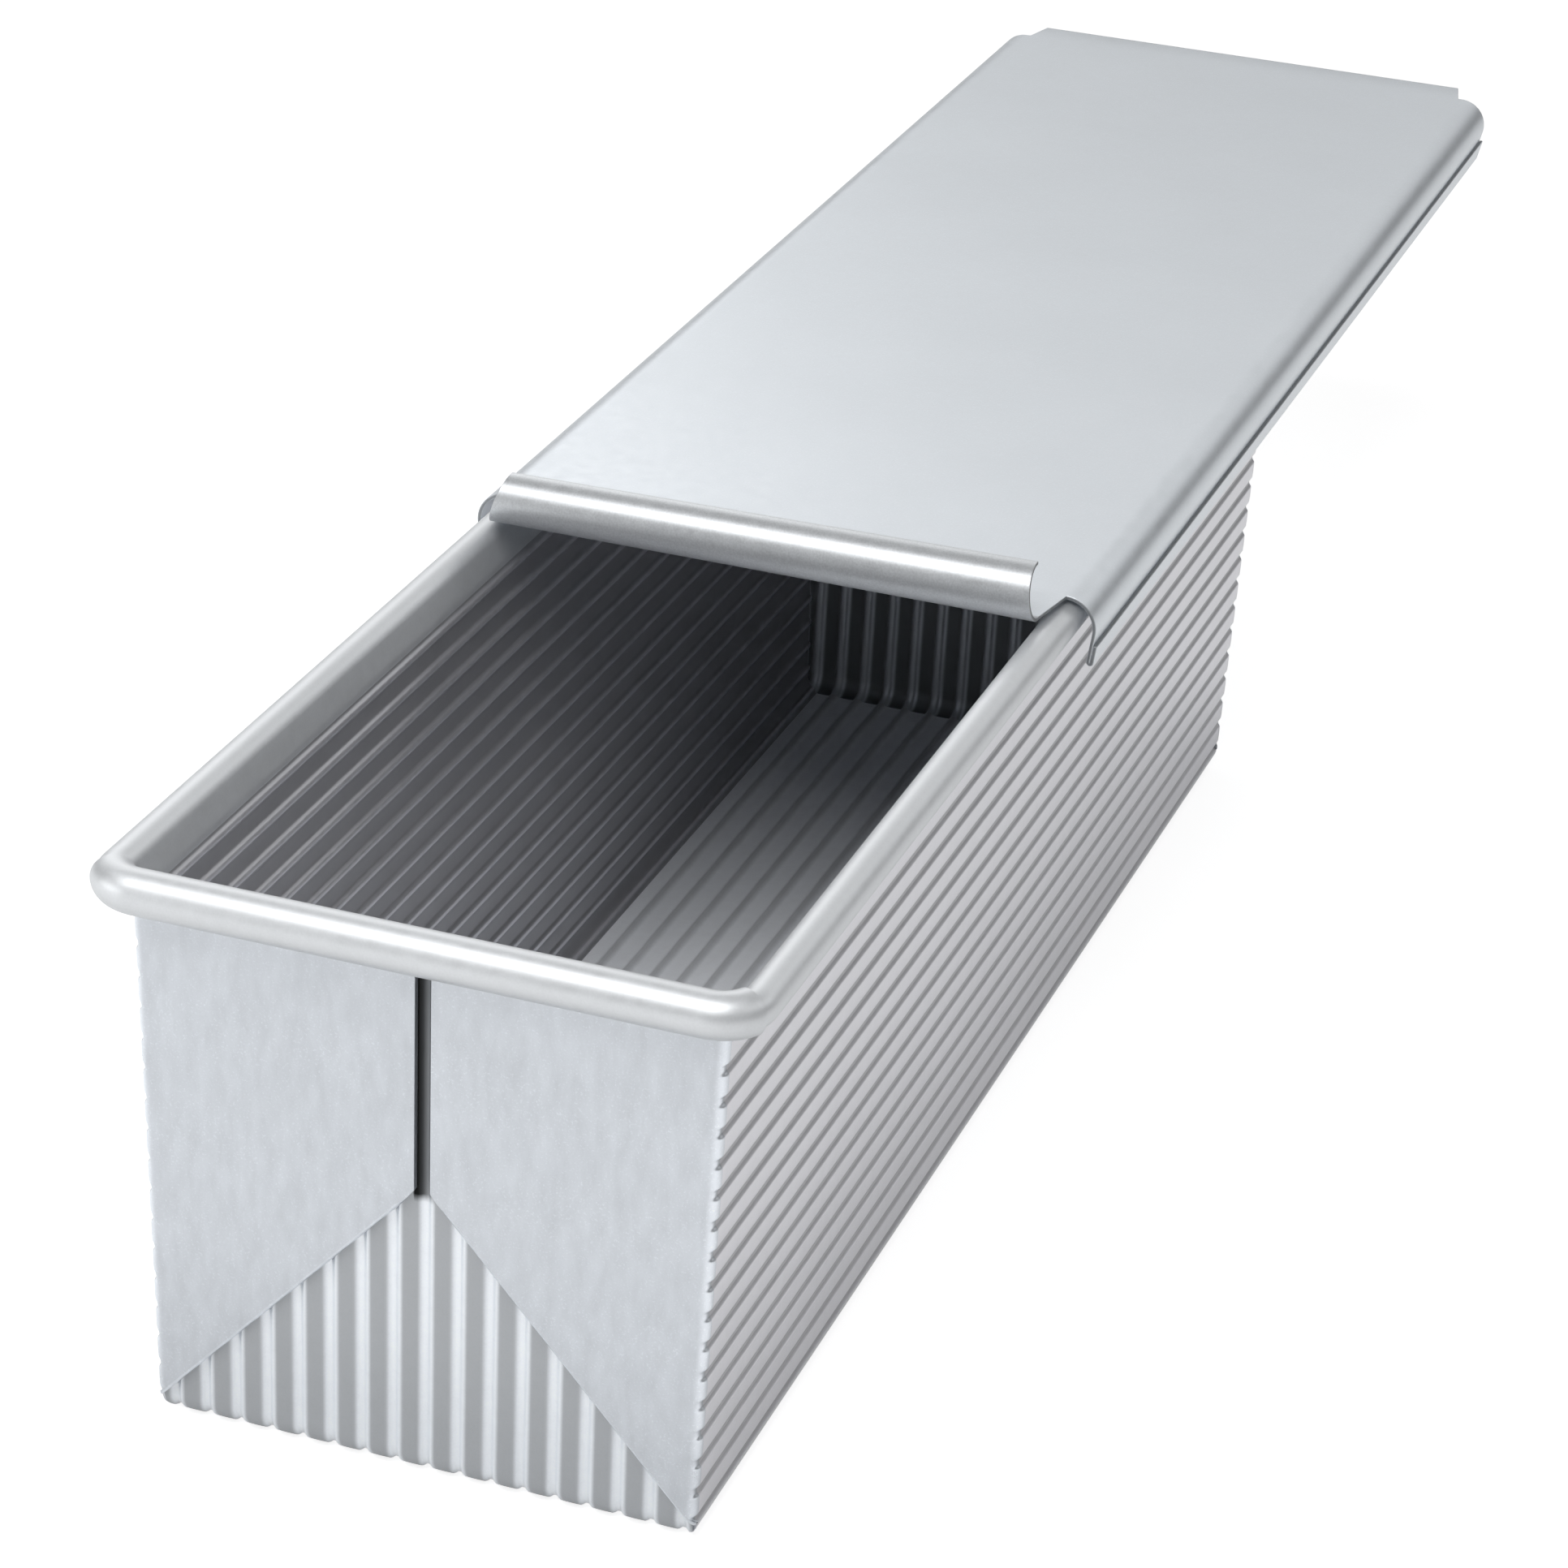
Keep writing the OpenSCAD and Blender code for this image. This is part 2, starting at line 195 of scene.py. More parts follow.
@dataclass(frozen=True)
class SteelFinish:
    """Coated sheet steel: satin, with fine grain and a faint mottled spangle."""

    name: str
    tint: tuple[float, float, float] = (0.765, 0.785, 0.805)
    metal: float = 0.55
    roughness: float = 0.38
    mottle: float = 0.10
    grain: float = 0.10
    cloud: float = 0.06
    grain_height: float = 0.012
    bump: float = 0.35
    flake_per_m: float = 420.0
    grain_per_m: float = 2600.0
    cloud_per_m: float = 30.0
    flake_rough: float = 0.14
    grain_rough: float = 0.10
    stretch: tuple[float, float, float] = (1.0, 1.0, 1.0)
    speck: float = 0.0
    speck_range: tuple[float, float] = (0.60, 0.70)
    # Raw cut edges are darkened by painted shade; their extra roughness is the cut's own.
    edge_painted_shade: float = 0.65
    edge_rough: float = 0.25
    painted_light_smooth: float = 0.2

    def material(self) -> bpy.types.Material:
        """Return the material.

        Tint and roughness vary with the flakes, which are drawn out along the axis with the
        smallest stretch, and with the grain. The tint also follows wide soft clouds. The highest
        grains are bright specks. Painted highlights make places lighter and smoother, and painted
        shade makes them darker. A raw cut edge is rougher, and darker by painted shade.
        """
        made = bpy.data.materials.new(self.name)
        made.use_nodes = True
        graph = Graph(made.node_tree)
        place = graph.node("ShaderNodeTexCoord").outputs["Object"]
        drawn = graph.node("ShaderNodeMapping", {}, {"Vector": place, "Scale": self.stretch})
        raw, painted_light = (
            Number(graph, graph.node("ShaderNodeAttribute", {"attribute_name": name}).outputs["Fac"])
            for name in (RAW_EDGE, PAINTED_LIGHT)
        )
        flakes = graph.noise(drawn.outputs[0], self.flake_per_m, 3.0)
        grain = graph.noise(place, self.grain_per_m, 2.0)
        clouds = graph.noise(place, self.cloud_per_m, 2.0)
        light = 1.0 + (flakes - 0.5) * self.mottle + (grain - 0.5) * self.grain
        light = light + (clouds - 0.5) * self.cloud + graph.ease(grain, *self.speck_range) * self.speck
        # Painted shade on raw edges, then the painted highlight or painted shade of the painted-light
        # attribute.
        light = light * (1.0 - raw * self.edge_painted_shade) * (1.0 + painted_light)
        shade = graph.node("ShaderNodeCombineXYZ", {}, {0: light, 1: light, 2: light})
        height = {"Strength": self.bump, "Distance": self.grain_height * MM, "Height": grain + flakes}
        bump = graph.node("ShaderNodeBump", {}, height)
        rough = self.roughness + (flakes - 0.5) * self.flake_rough + (grain - 0.5) * self.grain_rough
        steel = graph.node(
            "ShaderNodeBsdfPrincipled",
            {},
            {
                "Base Color": graph.vector("MULTIPLY", shade.outputs[0], self.tint),
                "Metallic": self.metal,
                "Roughness": rough + raw * self.edge_rough - painted_light * self.painted_light_smooth,
                "Normal": bump.outputs[0],
            },
        )
        graph.node("ShaderNodeOutputMaterial", {}, {"Surface": steel.outputs[0]})
        return made


# Surfaces


@dataclass
class Patch:
    """A (rows, cols, 3) grid of points.

    With it go how far each point is a raw cut edge, and how much light or shade is painted on
    it: above 0 a painted highlight, below 0 painted shade.
    """

    grid: np.ndarray
    turned: bool
    raw: Any = 0.0
    painted_light: Any = 0.0


def grid_faces(rows: int, cols: int, start: int, turned: bool) -> np.ndarray:
    """Return the quads of a grid of points numbered row by row.

    Args:
        rows: Points down the grid.
        cols: Points across the grid.
        start: Number of its first point.
        turned: Whether the faces look the other way.

    Returns:
        One row of four point numbers for each quad.
    """
    first = (start + np.arange(rows - 1)[:, None] * cols + np.arange(cols - 1)[None, :]).ravel()
    quads = np.stack([first, first + cols, first + cols + 1, first + 1], axis=1)
    return quads[:, ::-1] if turned else quads


def stitched(
    patches: list[Patch],
) -> tuple[np.ndarray, dict[str, np.ndarray], list[np.ndarray]]:
    """Join patches into one closed mesh.

    Points that agree to a hundred-thousandth are made one, faces that shrink to a line are
    dropped, and all faces are turned over if the volume they enclose comes out negative.

    Args:
        patches: The grids, the sheet's faces before its edges.

    Returns:
        The points, their values by attribute name, and the quads and triangles as two arrays.
    """
    faces, points, count = [], [], 0
    values = {RAW_EDGE: [], PAINTED_LIGHT: []}
    for patch in patches:
        rows, cols = patch.grid.shape[:2]
        faces.append(grid_faces(rows, cols, count, patch.turned))
        points.append(patch.grid.reshape(-1, 3))
        values[RAW_EDGE].append(np.broadcast_to(patch.raw, (rows, cols)).ravel())
        values[PAINTED_LIGHT].append(np.broadcast_to(patch.painted_light, (rows, cols)).ravel())
        count += rows * cols
    keys, first, number = np.unique(
        np.round(np.concatenate(points), 5), axis=0, return_index=True, return_inverse=True
    )
    quads = number.ravel()[np.concatenate(faces)]
    same = quads == np.roll(quads, -1, axis=1)
    crossed = (quads[:, 0] == quads[:, 2]) | (quads[:, 1] == quads[:, 3])
    whole = quads[(same.sum(axis=1) == 0) & ~crossed]
    pinched = (same.sum(axis=1) == 1) & ~crossed
    keep = ~same[pinched]
    corners = quads[pinched][keep].reshape(-1, 3)
    volume = sum(
        np.einsum("ij,ij->i", keys[f[:, 0]], np.cross(keys[f[:, a]], keys[f[:, b]])).sum()
        for f, a, b in ((whole, 1, 2), (whole, 2, 3), (corners, 1, 2))
    )
    if volume < 0:
        whole, corners = whole[:, ::-1], corners[:, ::-1]
    kept = {name: np.concatenate(parts)[first] for name, parts in values.items()}
    return keys, kept, [whole, corners]


def edge_band(outer: np.ndarray, inner: np.ndarray, inside: np.ndarray, bulge: float) -> np.ndarray:
    """Return the band of points that closes a sheet's edge.

    Each crosswise row runs from the outer to the inner face along half an ellipse, whose
    height is the bulge and which points away from the sheet.

    Args:
        outer: Edge points on the outer face.
        inner: Edge points on the inner face.
        inside: The outer face's points next to the edge.
        bulge: Height of the rounding.
    """
    middle, half = (outer + inner) / 2, (outer - inner) / 2
    away = outer - inside
    size = np.maximum((half * half).sum(axis=1, keepdims=True), 1e-12)
    away = away - half * (away * half).sum(axis=1, keepdims=True) / size
    away = away / np.maximum(np.linalg.norm(away, axis=1, keepdims=True), 1e-9)
    turn = np.linspace(0.0, math.pi, EDGE_STEPS + 1)[None, :, None]
    return middle[:, None] + half[:, None] * np.cos(turn) + away[:, None] * bulge * np.sin(turn)


def closed_sheet(
    outer: np.ndarray,
    inner: np.ndarray,
    free: str = "",
    bulge: float = 0.12,
    painted_light: tuple[Any, Any] = (0.0, 0.0),
) -> list[Patch]:
    """Close the space between two faces of a sheet.

    Args:
        outer: (rows, cols, 3) points of one face.
        inner: The matching points of the other face.
        free: Which edges are raw and rounded: t, b, l and r for the first and the last row
            and the first and the last column. The others are flat.
        bulge: Height of the rounding.
        painted_light: Painted light on the outer and the inner face, above 0 highlight, below 0 shade.

    Returns:
        The patches for stitched().
    """
    def band(name: str, cut: Callable[[np.ndarray, int], np.ndarray]) -> np.ndarray:
        return edge_band(cut(outer, 0), cut(inner, 0), cut(outer, 1), bulge if name in free else 0.0)

    rawness = np.sin(np.linspace(0.0, math.pi, EDGE_STEPS + 1))[None, :]
    top = band("t", lambda g, k: g[k])
    bottom = band("b", lambda g, k: g[-1 - k])
    left = band("l", lambda g, k: g[:, k])
    right = band("r", lambda g, k: g[:, -1 - k])
    bands = [
        Patch(edge, turned, rawness if name in free else 0.0)
        for name, edge, turned in (
            ("t", top, False), ("b", bottom, True), ("l", left, True), ("r", right, False))
    ]
    corners = [
        Patch(np.stack(pair), False)
        for pair in ((left[0], top[0]), (top[-1], right[0]), (right[-1], bottom[-1]),
                     (bottom[0], left[-1]))
    ]
    faces = [Patch(outer, False, painted_light=painted_light[0]), Patch(inner, True, painted_light=painted_light[1])]
    return faces + bands + corners


def make_piece(
    name: str,
    patches: list[Patch],
    finish: bpy.types.Material,
    body: Body,
    nodes: tuple[str, ...],
) -> bpy.types.Object:
    """Make an object from patches, dress it and hand it to its body.

    Args:
        name: The piece's name.
        patches: Its faces, in millimetres.
        finish: Its material.
        body: The body that it rides on.
        nodes: The nodes that it stands for.

    Returns:
        The new object, at the origin.
    """
    points, values, faces = stitched(patches)
    mesh = bpy.data.meshes.new(name)
    polygons = [face for part in faces for face in part.tolist()]
    mesh.from_pydata((points * MM).tolist(), [], polygons)
    for key, value in values.items():
        mesh.attributes.new(key, "FLOAT", "POINT").data.foreach_set("value", value.astype(np.float32))
    mesh.polygons.foreach_set("use_smooth", np.ones(len(polygons), dtype=bool))
    mesh.set_sharp_from_angle(angle=math.radians(SHARP_DEG))
    mesh.materials.append(finish)
    mesh.update()
    piece = bpy.data.objects.new(name, mesh)
    bpy.context.scene.collection.objects.link(piece)
    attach(piece, body.value)
    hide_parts(*nodes)
    log.info("%s: %d faces, stands for %s", name, len(polygons), ", ".join(nodes))
    return piece


def arc(centre: np.ndarray, radius: float, start: float, end: float, steps: int) -> np.ndarray:
    """Return points centre + radius * (cos a, sin a) for angles in degrees."""
    turn = np.radians(np.linspace(start, end, steps + 1))[:, None]
    return centre + radius * np.hstack([np.cos(turn), np.sin(turn)])


def smooth_step(value: np.ndarray, low: float, high: float) -> np.ndarray:
    """Return 0 below low and 1 above high, with the cubic 3u^2 - 2u^3 between."""
    u = np.clip((value - low) / (high - low), 0.0, 1.0)
    return u * u * (3.0 - 2.0 * u)


def grid_of(x: Any, y: Any, z: Any) -> np.ndarray:
    """Return a grid of points from coordinates that are spread over its rows and columns."""
    return np.stack(np.broadcast_arrays(x, y, z), axis=-1)


@dataclass(frozen=True)
class Ribs:
    """Grooves pressed into the sheet at an even pitch, with rounded shoulders."""

    pitch: float = 5.78
    mouth: float = 2.2
    bed: float = 0.9
    depth: float = 0.6
    roll_off: float = 0.06
    rounding: float = 0.16
    steps: int = 7
    crest_steps: int = 6

    @property
    def shoulder(self) -> tuple[float, float]:
        """Distances from a groove's centre line at which its shoulder starts and ends."""
        return self.bed / 2 - self.rounding, self.mouth / 2 + self.rounding

    def sink(self, along: np.ndarray) -> np.ndarray:
        """Return the depth at a distance along the sheet.

        Across each shoulder the depth follows half a cosine wave, from the bed to the crest.
        The crest rolls off towards the groove on a second, wider wave.
        """
        off = np.abs(along - self.pitch * np.round(along / self.pitch))
        low, high = self.shoulder
        share = np.clip((off - low) / (high - low), 0.0, 1.0)
        groove = (self.depth - self.roll_off) * (1.0 + np.cos(math.pi * share)) / 2
        return groove + self.roll_off * (1.0 + np.cos(2 * math.pi * off / self.pitch)) / 2

    def band(
        self, along: np.ndarray, reach: float, shift: float = 0.0, level: float = 0.0
    ) -> np.ndarray:
        """Return 1 on the grooves' centre lines, falling smoothly to 0 at reach.

        Args:
            along: Distances along the sheet.
            reach: Distance from the centre line at which the band has faded out.
            shift: How far the band lies to one side of the groove.
            level: The share of the reach over which the band stays at 1.
        """
        off = np.abs(along - shift - self.pitch * np.round((along - shift) / self.pitch))
        return 1.0 - smooth_step(off, reach * level, reach)

    def stops(self, start: float, end: float) -> np.ndarray:
        """Return places from start to end, close together on the grooves' shoulders."""
        low, high = self.shoulder
        crest = np.linspace(high, self.pitch / 2, self.crest_steps)[1:-1]
        half = np.concatenate([np.linspace(low, high, self.steps), crest])
        offs = np.concatenate([-half[::-1], half, [self.pitch / 2]])
        marks = np.arange(math.floor(start / self.pitch) - 1, math.ceil(end / self.pitch) + 2)
        places = (marks[:, None] * self.pitch + offs[None, :]).ravel()
        inside = places[(places > start + 1e-6) & (places < end - 1e-6)]
        return np.concatenate([[start], inside, [end]])


@dataclass(frozen=True)
class PanSizes:
    """The pan's sizes and what follows from them."""

    base_w: float = 98.0
    base_l: float = 332.0
    wall_h: float = 98.8
    side_lean: float = 1.64
    end_lean: float = 1.09
    sheet: float = 0.7
    bend_r: float = 4.5
    fold_r: float = 2.0
    corner_gap: float = 0.1
    gusset_gap: float = 2.8
    gusset_slit_z: float = 55.5
    gusset_slope: float = 48.0
    gusset_tip_z: float = 3.4
    wire_d: float = 5.0
    wire_fit: float = 0.05
    wire_out_side: float = 4.5
    wire_out_end: float = 4.8
    wire_up: float = 4.2
    rim_corner_r: float = 6.5
    roll_end: float = 20.0

    def side_x(self, z: Any) -> Any:
        """Return the outer crest plane of a side wall at height z."""
        return self.base_w / 2 + math.tan(math.radians(self.side_lean)) * z

    def stack_y(self, z: Any) -> Any:
        """Return the outer face of the gussets at height z."""
        return self.base_l / 2 + math.tan(math.radians(self.end_lean)) * z

    def end_y(self, z: Any) -> Any:
        """Return the outer crest plane of an end wall, under the two gusset leaves."""
        return self.stack_y(z) - 2 * self.sheet / math.cos(math.radians(self.end_lean))

    @property
    def bend_x(self) -> float:
        """Distance from the middle at which the side bends begin."""
        return self.side_x(self.bend_r) - self.bend_r / math.cos(math.radians(self.side_lean))

    @property
    def bend_y(self) -> float:
        """Distance from the middle at which the end bends begin."""
        return self.end_y(self.bend_r) - self.bend_r / math.cos(math.radians(self.end_lean))

    @property
    def gusset_foot(self) -> float:
        """Height at which a gusset's slit has turned into its slanting fold."""
        return self.gusset_slit_z - 0.75 * self.gusset_gap

    @property
    def inner_x(self) -> float:
        """Inner face of a side wall at its top."""
        lean = math.cos(math.radians(self.side_lean))
        return round(self.side_x(self.wall_h) - self.sheet * lean, 2)

    @property
    def inner_y(self) -> float:
        """Inner face of an end wall at its top."""
        lean = math.cos(math.radians(self.end_lean))
        return round(self.end_y(self.wall_h) - self.sheet * lean, 2)

    @property
    def wire_x(self) -> float:
        """Centre of the wire along a side."""
        return self.inner_x + self.wire_out_side

    @property
    def wire_y(self) -> float:
        """Centre of the wire along an end."""
        return self.inner_y + self.wire_out_end

    @property
    def wire_z(self) -> float:
        """Height of the wire's centre."""
        return self.wall_h + self.wire_up

    @property
    def roll_in_r(self) -> float:
        """Inner radius of the rolled sheet."""
        return self.wire_d / 2 + self.wire_fit


@dataclass
class BentPath:
    """A sheet's section from the middle of the floor, round a bend and up a leaning wall."""

    bend_at: float
    bend_r: float
    lean: float

    @property
    def bend_len(self) -> float:
        """Length of the bend along the outer face."""
        return self.bend_r * math.radians(90.0 - self.lean)

    def points(self, along: np.ndarray, sink: np.ndarray) -> tuple[np.ndarray, np.ndarray]:
        """Return the places across and up at a distance along the outer face.

        The face turns evenly through the bend, and a point lies off it by sink, at right
        angles to it and towards the inside.

        Args:
            along: Distances from the middle of the floor.
            sink: Depths below the outer face.

        Returns:
            The distance across and the height, as two arrays.
        """
        turn = np.clip((along - self.bend_at) / self.bend_r, 0.0, math.radians(90.0 - self.lean))
        rise = np.maximum(0.0, along - self.bend_at - self.bend_len)
        flat = np.minimum(along, self.bend_at)
        across = flat + self.bend_r * np.sin(turn) + rise * np.cos(turn) - sink * np.sin(turn)
        height = self.bend_r * (1 - np.cos(turn)) + rise * np.sin(turn) + sink * np.cos(turn)
        return across, height


@dataclass
class PanBody:
    """The ribbed floor and walls with the folded gussets."""

    finish: bpy.types.Material
    flap_finish: bpy.types.Material
    floor_finish: bpy.types.Material
    end_finish: bpy.types.Material
    sizes: PanSizes = field(default_factory=PanSizes)
    ribs: Ribs = field(default_factory=Ribs)
    hairline: float = 0.06
    slit_round: float = 0.12
    # Tones painted into the steel's colour: below 0 painted shade, above 0 painted highlight.
    groove_painted_shade: float = -0.45
    groove_reach: float = 1.5
    floor_painted_shade: float = -0.4
    inside_painted_shade: float = -0.35
    ridge_painted_highlight: float = 0.7
    ridge_reach: float = 0.9
    end_painted_shade: float = -0.4
    end_painted_highlight: float = 0.62
    end_reach: float = 1.7
    end_shift: float = 0.3
    end_level: float = 0.5
    slit_painted_shadow: float = -0.6
    slit_fade: float = 1.5
    strip_share: float = 1.5
    fold_painted_highlight: float = 0.38
    fold_most: float = 0.98
    tip_gap: float = 0.6
    gusset_over: float = 1.4
    foot_step: float = 0.4
    groove_end: tuple[float, float] = (6.0, 4.0)
    groove_start: tuple[float, float] = (15.0, 72.0)
    back_short: float = 1.0
    back_least: float = 0.2
    back_low: float = 1.0
    back_from: float = 1.5

    def build(self) -> None:
        """Make the floor, the walls and the gussets."""
        self.floor()
        for make, places in ((self.side_wall, SIDES), (self.end_wall, ENDS), (self.gusset, CORNERS)):
            for side, word in places:
                make(side, word)

    def floor(self) -> None:
        """Make the floor: height = groove depth at x, and one sheet more for the inner face."""
        size = self.sizes
        x = self.ribs.stops(-size.bend_x, size.bend_x)
        y = np.array([[-size.bend_y], [size.bend_y]])
        faces = [grid_of(x, y, self.ribs.sink(x) + depth) for depth in (0.0, size.sheet)]
        # Painted shade along the floor's grooves, on both faces.
        painted_shade = self.floor_painted_shade * self.ribs.band(x, self.groove_reach)
        make_piece("pan_floor_sheet", closed_sheet(*faces, painted_light=(painted_shade, painted_shade)),
                   self.floor_finish, Body.PAN, ("pan_floor",))

    def side_path(self) -> BentPath:
        """Return the section of a side, from the floor's middle up to the wall's top."""
        return BentPath(self.sizes.bend_x, self.sizes.bend_r, self.sizes.side_lean)

    def side_end(self, x: np.ndarray, z: np.ndarray) -> np.ndarray:
        """Return where a side wall ends: at the mitre round the bend, then at the fold."""
        size = self.sizes
        mitre = size.bend_y + np.maximum(0.0, x - size.bend_x)
        fold = size.stack_y(z) - size.fold_r
        return np.where(z < size.bend_r, np.minimum(mitre, fold), fold)

    def side_wall(self, side: Side, word: str) -> None:
        """Make a side wall: the ribbed section carried along Y to its slanting ends."""
        size, path = self.sizes, self.side_path()
        rise = (size.wall_h - self.bend_top()) / math.cos(math.radians(size.side_lean))
        round_bend = path.bend_at + path.bend_len * np.linspace(0.1, 1.0, 10)
        stops = self.ribs.stops(path.bend_at, path.bend_at + path.bend_len + rise)
        stops = np.unique(np.concatenate([stops, round_bend]))
        faces = []
        for depth in (0.0, size.sheet):
            x, z = path.points(stops, self.ribs.sink(stops) + depth)
            faces.append(side.place(grid_of(x, ACROSS[:, None] * self.side_end(x, z), z)))
        # Outside, painted shade in the grooves; inside, painted shade with a painted highlight along
        # each raised rib.
        painted_shade = self.groove_painted_shade * self.ribs.band(stops, self.groove_reach)
        inner_painted_light = self.inside_painted_shade + self.ridge_painted_highlight * self.ribs.band(stops, self.ridge_reach)
        make_piece(f"{word}_side_sheet", closed_sheet(*faces, painted_light=(painted_shade, inner_painted_light)), self.finish,
                   Body.PAN, (f"{word}_side_wall",))

    def bend_top(self) -> float:
        """Return the height at which a side bend ends."""
        return self.sizes.bend_r * (1 - math.sin(math.radians(self.sizes.side_lean)))

    def end_wall(self, side: Side, word: str) -> None:
        """Make an end wall: upright ribs, carried round the bend and up.

        Across is x, kept within the wall's edges at each height, and the section of the end
        gives y and z for the groove depth there. On the outside painted highlight bands give way
        to a painted shadow strip, deepest at its left, where the slit between the gussets shows
        the wall. The whole wall has painted shade, more of it inside.
        """
        size = self.sizes
        path = BentPath(size.bend_y, size.bend_r, size.end_lean)
        lean = math.radians(size.end_lean)
        bend_end = path.bend_at + path.bend_len
        heights = np.array([size.gusset_slit_z - self.slit_fade, size.gusset_slit_z, size.wall_h])
        marks = bend_end + (heights - size.bend_r * (1 - math.sin(lean))) / math.cos(lean)
        round_bend = path.bend_at + path.bend_len * np.linspace(0.0, 1.0, 12)
        rise = np.linspace(bend_end, marks[-1], 5)
        along = np.unique(np.concatenate([round_bend, rise, marks]))[:, None]
        slit, wide = size.gusset_gap / 2, size.side_x(size.wall_h)
        across = np.sort(np.append(self.ribs.stops(-wide, wide), [-slit, slit]))
        flat_y, flat_z = path.points(along, 0.0)
        half = size.side_x(flat_z) - size.sheet - size.corner_gap
        mitre = size.bend_x + np.maximum(0.0, flat_y - size.bend_y)
        half = np.where(flat_z < size.bend_r, np.minimum(mitre, half), half)
        x = np.clip(across, -half, half)
        faces = []
        for depth in (0.0, size.sheet):
            y, z = path.points(along, self.ribs.sink(x) + depth)
            faces.append(side.place(grid_of(x, -y, z)))
        # Painted highlight bands beside the grooves below the slit, a painted shadow strip in the
        # slit, and painted shade over the wall.
        band = self.end_painted_highlight * self.ribs.band(across, self.end_reach, self.end_shift, self.end_level)
        strip = np.abs(across) < self.strip_share * slit
        shade = self.slit_painted_shadow * (1.0 - smooth_step(across, -slit, slit)) * strip
        above = smooth_step(along, marks[0], marks[1])
        outside = self.end_painted_shade + band * (1.0 - above) + shade * above
        tones = (outside, self.end_painted_shade + self.inside_painted_shade + band)
        make_piece(f"{word}_end_sheet", closed_sheet(*faces, painted_light=tones), self.end_finish,
                   Body.PAN, (f"{word}_end_wall",))

    def gusset_edge(self, z: np.ndarray) -> np.ndarray:
        """Return x of a gusset's inner edge: down the slit, a short slant, then the fold."""
        size = self.sizes
        slit = size.gusset_gap / 2
        slope = math.tan(math.radians(size.gusset_slope))
        fold = size.side_x(0.0) - (z - size.gusset_tip_z) / slope
        head, foot = size.gusset_slit_z + slit, size.gusset_foot
        turn = max(slit, size.side_x(0.0) - (foot - size.gusset_tip_z) / slope)
        slant = slit + (turn - slit) * np.clip((head - z) / (head - foot), 0.0, 1.0)
        return np.where(z > foot, slant, fold)

    def gusset_rows(self) -> tuple[np.ndarray, np.ndarray]:
        """Return the heights of a gusset's rows and their places along the side's section.

        There is a row at each stop of the side wall's grooves, so that the two meet, and one
        at each height where the inner edge turns.
        """
        size, path = self.sizes, self.side_path()
        low, high = size.gusset_tip_z + self.tip_gap, size.wall_h + self.gusset_over
        start = path.bend_at + path.bend_len
        lean = math.cos(math.radians(size.side_lean))
        stops = self.ribs.stops(start, start + (high - self.bend_top()) / lean)
        levels = self.bend_top() + (stops - start) * lean
        turns = size.gusset_foot + self.foot_step * np.array([-1.0, 0.0, 1.0])
        ends = [low, size.gusset_slit_z, size.gusset_slit_z + size.gusset_gap / 2, high]
        z = np.unique(np.concatenate([levels[levels > low], turns, ends]))[:, None]
        return z, start + (z - self.bend_top()) / lean

    def gusset(self, side: Side, word: str) -> None:
        """Make a gusset: two leaves that share a rounded folded edge, and the upright fold.

        Rows are level. Along a row the outer face starts at the inner edge, rounds over with
        a radius of one sheet where the leaves are folded together, runs flat to the corner
        and turns a quarter circle on to the side wall, where the grooves begin.
        """
        size = self.sizes
        z, along = self.gusset_rows()
        plain = smooth_step(z, *(size.wall_h - up for up in self.groove_end))
        sink = self.ribs.sink(along) * (1.0 - plain)
        fold_x = size.side_x(z) - size.fold_r
        face_y = -size.stack_y(z)
        edge_x = self.gusset_edge(z)
        folded = 1.0 - smooth_step(z, size.gusset_foot, size.gusset_slit_z)
        round_r = self.slit_round + (size.sheet - self.slit_round) * folded
        stretch = 1.0 + (1.0 / math.sin(math.radians(size.gusset_slope)) - 1.0) * folded

        turn = np.linspace(math.pi / 2, 0.0, 6)
        curve_out = round_r * (1.0 - np.sin(turn)) * stretch
        curve_in = round_r * (1.0 - np.cos(turn))
        last_x = fold_x + size.fold_r * self.fold_most
        lip_x = np.minimum(np.minimum(edge_x, last_x) + curve_out, last_x)
        lip_end = lip_x[:, -1:]
        share = np.linspace(0.0, 1.0, 7)[1:]
        flat_end = np.maximum(fold_x, lip_end)
        flat_x = lip_end + (flat_end - lip_end) * share
        x_row = np.concatenate([lip_x, flat_x], axis=1)
        over = np.clip((x_row - fold_x) / size.fold_r, 0.0, self.fold_most)
        dip = size.fold_r * (1.0 - np.sqrt(1.0 - over * over))
        depth = np.concatenate([curve_in, np.zeros_like(flat_x)], axis=1)
        leaf = [grid_of(x_row, face_y + cut + dip, z) for cut in (depth, size.sheet)]

        first = np.arcsin(np.clip((flat_end - fold_x) / size.fold_r, 0.0, self.fold_most))
        angle = first + (math.pi / 2 - first) * np.linspace(0.0, 1.0, 11)[1:]
        fade = smooth_step(angle, *np.radians(self.groove_start))
        arcs = []
        for gone in (0.0, size.sheet):
            radius = size.fold_r - gone - sink * fade
            arc_y = face_y + size.fold_r - radius * np.cos(angle)
            arcs.append(grid_of(fold_x + radius * np.sin(angle), arc_y, z))
        faces = [side.place(np.concatenate(pair, axis=1)) for pair in zip(leaf, arcs)]
        # Painted shade in the grooves where they start on the side, and painted highlights round the
        # upright fold and along the folded lower edge.
        painted_shade = self.groove_painted_shade * self.ribs.band(along, self.groove_reach) * fade ** 3
        corner = painted_shade * (sink > 0.0) + self.fold_painted_highlight * np.sin(2 * angle) ** 2
        hem = self.fold_painted_highlight * folded * np.sin(2 * turn)
        tone = np.concatenate([hem, np.zeros_like(flat_x), corner], axis=1)

